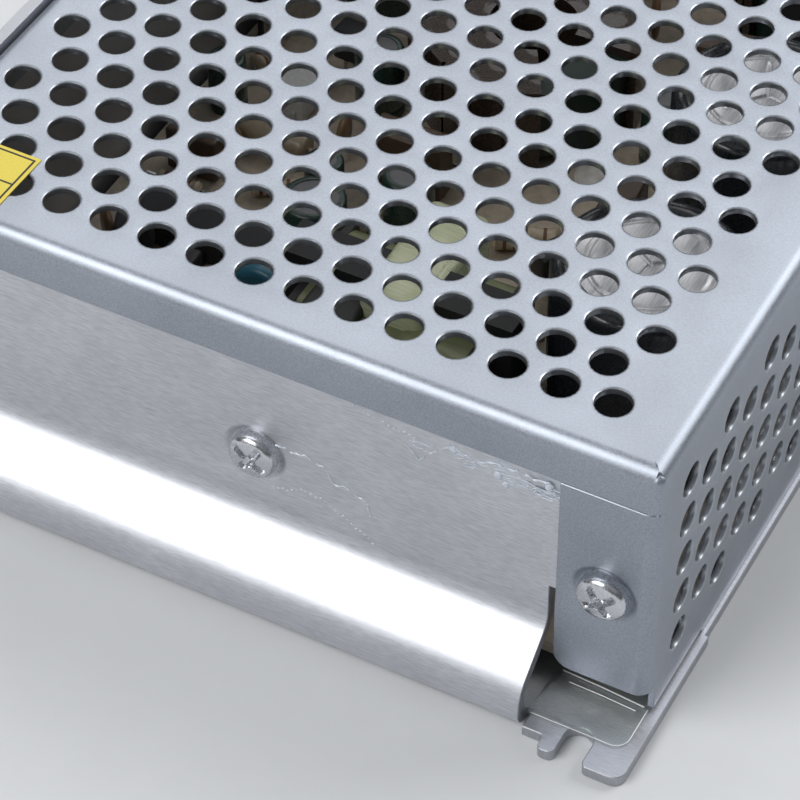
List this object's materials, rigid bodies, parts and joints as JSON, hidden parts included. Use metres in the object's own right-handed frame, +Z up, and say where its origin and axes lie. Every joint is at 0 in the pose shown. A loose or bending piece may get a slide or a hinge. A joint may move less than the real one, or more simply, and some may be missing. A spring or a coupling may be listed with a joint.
{
  "type": "led power supply",
  "caption": "Enclosed LED power supply: slotted aluminium base, perforated steel cover, circuit board parts inside, screw terminals with a hinged lid, trimmer and voltage selector.",
  "frame": {"origin": "middle of the box around the part, at the underside of the base plate", "axes": "+Z up, +Y towards the terminal end, +X towards the perforated side wall of the cover"},
  "size_m": [0.0978, 0.159, 0.0405],
  "materials": {
    "chassis_aluminium": "brushed along the width",
    "cover_steel": "dull zinc-coated steel, fine grain",
    "screw_zinc": "bright plated",
    "clear_film": "clear film",
    "standoff_brass": "plain",
    "board_laminate": "bare paper laminate",
    "label_yellow": "printed paper, no text",
    "device_black": "moulded",
    "device_white": "moulded",
    "pad_grey": "matt",
    "clamp_steel": "plain",
    "can_aluminium": "plain drawn",
    "sleeve_black": "shrunk sleeve",
    "small_capacitor": "dark sleeve",
    "ferrite_black": "matt sintered",
    "bobbin_black": "moulded",
    "winding_tape": "taped",
    "core_green": "coated",
    "copper_wire": "enamelled",
    "film_capacitor_yellow": "moulded box",
    "disc_blue": "dipped",
    "disc_dark": "dipped",
    "fuse_glass": "glass tube with metal caps",
    "clip_metal": "tinned",
    "resistor_tan": "lacquered",
    "terminal_black": "moulded",
    "lid_clear": "clear moulded",
    "lamp_green": "tinted",
    "trimmer_blue": "moulded",
    "trimmer_white": "moulded",
    "slider_red": "moulded"
  },
  "bodies": {
    "case": {"base_chassis": "chassis_aluminium", "cover": "cover_steel", "tab_screw": "screw_zinc", "clamp_screw": "screw_zinc", "side_screws": "screw_zinc", "board_screws": "screw_zinc", "rectifier_screw": "screw_zinc", "insulation_film": "clear_film", "board_standoffs": "standoff_brass", "circuit_board": "board_laminate", "yellow_label": "label_yellow", "transistor_left": "device_black", "transistor_right": "device_black", "transistor_pad": "pad_grey", "rectifier_pad": "pad_grey", "transistor_clamp": "clamp_steel", "output_rectifier": "device_black", "bulk_capacitor_front_can": "can_aluminium", "bulk_capacitor_rear_can": "can_aluminium", "bulk_capacitor_front_sleeve": "sleeve_black", "bulk_capacitor_rear_sleeve": "sleeve_black", "output_capacitor_1": "small_capacitor", "output_capacitor_2": "small_capacitor", "output_capacitor_3": "small_capacitor", "driver_transformer_core": "ferrite_black", "main_transformer_core": "ferrite_black", "driver_transformer_bobbin": "bobbin_black", "main_transformer_bobbin": "bobbin_black", "driver_transformer_winding": "winding_tape", "main_transformer_winding": "winding_tape", "output_choke_core": "core_green", "line_filter_core": "core_green", "output_choke_winding": "copper_wire", "line_filter_windings": "copper_wire", "x_capacitor": "film_capacitor_yellow", "y_capacitor_1": "disc_blue", "y_capacitor_2": "disc_blue", "inrush_thermistor": "disc_dark", "bridge_rectifier": "device_black", "fuse": "fuse_glass", "fuse_clips": "clip_metal", "control_chip": "device_black", "optocoupler": "device_white", "resistor_1": "resistor_tan", "resistor_2": "resistor_tan", "resistor_3": "resistor_tan", "terminal_body": "terminal_black", "terminal_plates": "clip_metal", "terminal_screws": "screw_zinc", "indicator_lamp": "lamp_green", "trimmer_body": "trimmer_blue", "selector_body": "terminal_black"},
    "lid": {"terminal_lid": "lid_clear"},
    "rotor": {"trimmer_rotor": "trimmer_white"},
    "slider": {"selector_slider": "slider_red"}
  },
  "joints": [
    {"name": "lid_hinge", "type": "hinge", "parent": "case", "child": "lid", "pos_m": [-0.00445, 0.0664, 0.0202], "axis": [1, 0, 0], "range_deg": [0, 94]},
    {"name": "rotor_turn", "type": "hinge", "parent": "case", "child": "rotor", "pos_m": [0.03868, 0.0695, 0.009], "axis": [0, 0, 1], "range_deg": [-135, 135]},
    {"name": "slider_travel", "type": "slide", "parent": "case", "child": "slider", "axis": [0, 1, 0], "range_m": [0, 0.004]}
  ]
}
